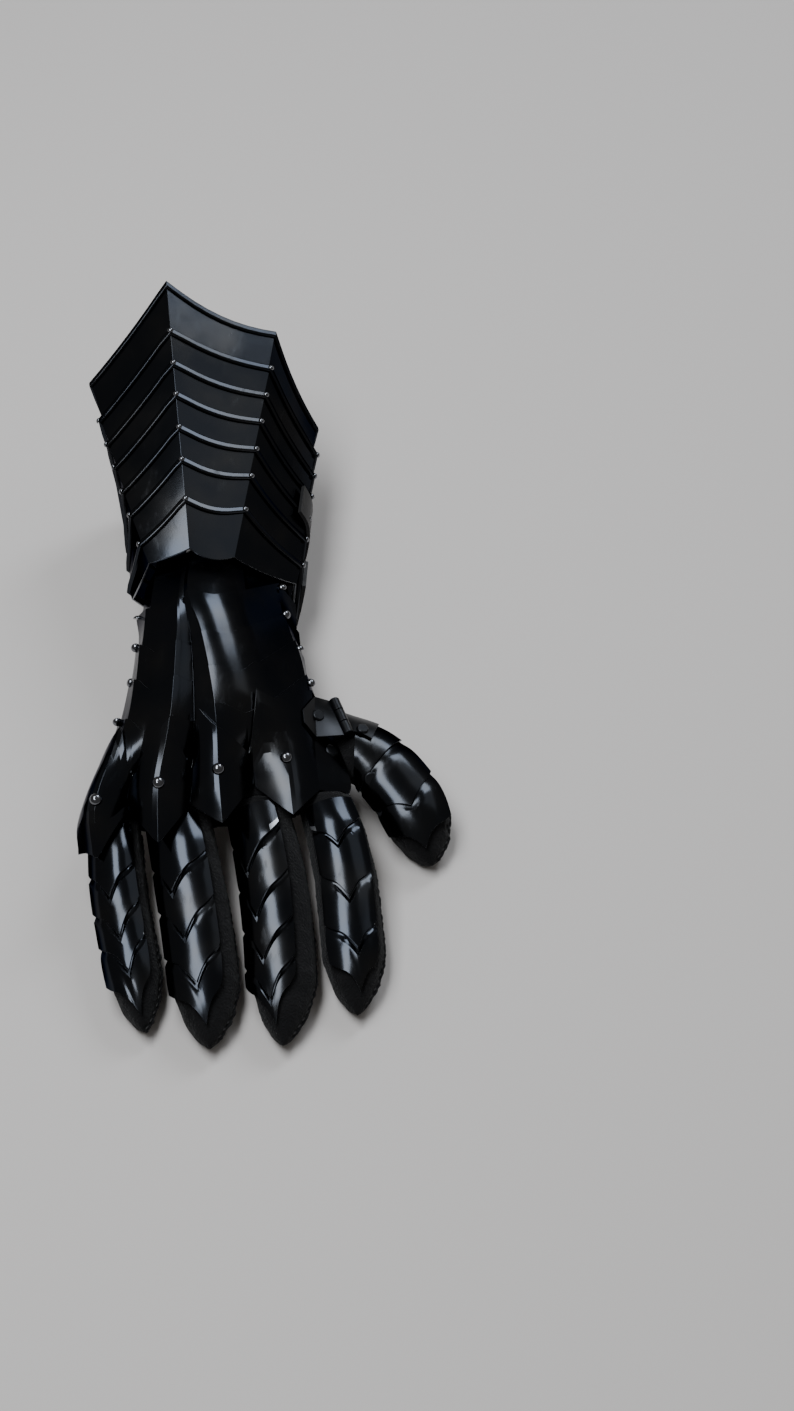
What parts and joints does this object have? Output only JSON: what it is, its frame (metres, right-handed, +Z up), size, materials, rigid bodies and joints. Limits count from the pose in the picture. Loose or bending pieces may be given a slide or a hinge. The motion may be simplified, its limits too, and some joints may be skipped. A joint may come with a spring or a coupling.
{
  "type": "armoured gauntlet",
  "caption": "Right-hand armoured gauntlet of overlapping steel plates on a leather glove, with a flared cuff, fluted hand, pointed knuckles and scaled fingers.",
  "frame": {"origin": "on the floor, below the middle of the outline", "axes": "+X towards the thumb, +Y from the fingertips to the cuff, +Z up from the palm to the back of the hand"},
  "size_m": [0.2138, 0.4404, 0.1298],
  "materials": {
    "black_steel": "glossy black steel",
    "rivet_steel": "polished black rivet heads",
    "hinge_steel": "satin dark steel",
    "buckle_steel": "bright steel",
    "glove_leather": "rough black suede",
    "strap_leather": "smooth black leather"
  },
  "bodies": {
    "root": {"cuff_lame_1": "black_steel", "cuff_lame_2": "black_steel", "cuff_lame_3": "black_steel", "cuff_lame_4": "black_steel", "cuff_lame_5": "black_steel", "cuff_lame_6": "black_steel", "cuff_lame_7": "black_steel", "wrist_plate": "black_steel", "hand_lame_1": "black_steel", "hand_lame_2": "black_steel", "hand_lame_3": "black_steel", "hand_lame_4": "black_steel", "knuckle_plate": "black_steel", "glove_palm": "glove_leather", "index_stall": "glove_leather", "index_scale_1": "black_steel", "index_scale_2": "black_steel", "index_scale_3": "black_steel", "index_scale_4": "black_steel", "middle_stall": "glove_leather", "middle_scale_1": "black_steel", "middle_scale_2": "black_steel", "middle_scale_3": "black_steel", "middle_scale_4": "black_steel", "middle_scale_5": "black_steel", "ring_stall": "glove_leather", "ring_scale_1": "black_steel", "ring_scale_2": "black_steel", "ring_scale_3": "black_steel", "ring_scale_4": "black_steel", "little_stall": "glove_leather", "little_scale_1": "black_steel", "little_scale_2": "black_steel", "little_scale_3": "black_steel", "little_scale_4": "black_steel", "thumb_stall": "glove_leather", "thumb_plate": "black_steel", "thumb_scale_1": "black_steel", "thumb_scale_2": "black_steel", "hinge_pin": "hinge_steel", "hinge_leaf_hand": "hinge_steel", "hinge_leaf_thumb": "hinge_steel", "cuff_strap": "strap_leather", "cuff_buckle": "buckle_steel", "wrist_strap": "strap_leather", "wrist_buckle": "buckle_steel", "knuckle_rivet_index": "rivet_steel", "knuckle_rivet_middle": "rivet_steel", "knuckle_rivet_ring": "rivet_steel", "knuckle_rivet_little": "rivet_steel", "thumb_side_rivet_1": "rivet_steel", "little_side_rivet_1": "rivet_steel", "thumb_side_rivet_2": "rivet_steel", "little_side_rivet_2": "rivet_steel", "thumb_side_rivet_3": "rivet_steel", "little_side_rivet_3": "rivet_steel", "thumb_side_rivet_4": "rivet_steel", "little_side_rivet_4": "rivet_steel"}
  },
  "joints": []
}
